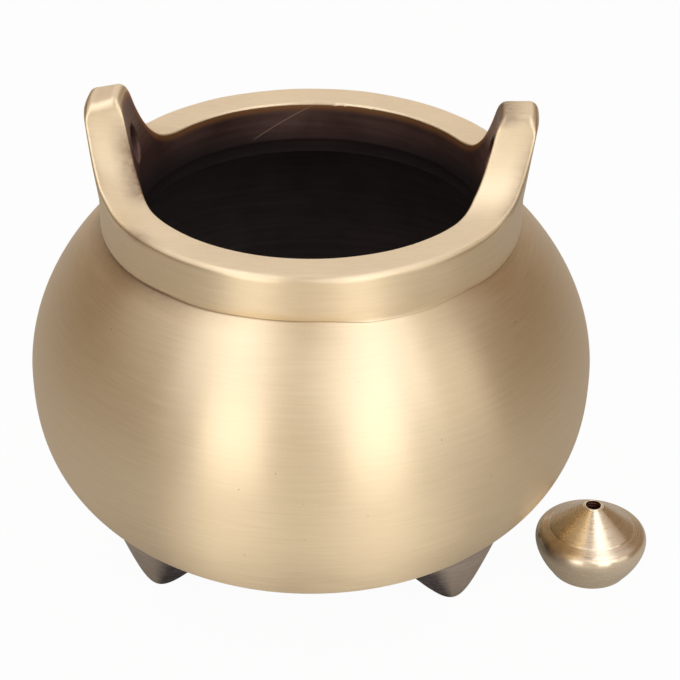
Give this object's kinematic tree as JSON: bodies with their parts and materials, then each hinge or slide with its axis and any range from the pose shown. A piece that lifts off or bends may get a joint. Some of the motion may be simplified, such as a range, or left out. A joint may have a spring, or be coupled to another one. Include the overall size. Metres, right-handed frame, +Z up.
{
  "type": "tripod incense burner",
  "caption": "Round-bellied brass incense burner with an upright-eared neck collar, short conical feet and a loose turned stick holder.",
  "frame": {"origin": "centre of the bounding box's underside: the table under the burner and the stick holder that stands beside it", "axes": "+Z up; X through the two ears, +X towards the stick holder; -Y is the front, between the two front feet"},
  "size_m": [0.0834, 0.074, 0.0678],
  "materials": {
    "satin_brass": "satin, brushed round the turning axis, brown patina in hollows",
    "polished_brass": "polished, fine turned lines and small scratches"
  },
  "bodies": {
    "burner": {"belly_bowl": "satin_brass", "neck_collar_with_ears": "satin_brass", "rear_foot": "satin_brass", "left_foot": "satin_brass", "right_foot": "satin_brass"},
    "stick_holder": {"incense_stick_holder": "polished_brass"}
  },
  "joints": [
    {"name": "stick_holder_slide", "type": "slide", "parent": "burner", "child": "stick_holder", "axis": [1, 0, 0], "range_m": [0, 0.05]}
  ]
}
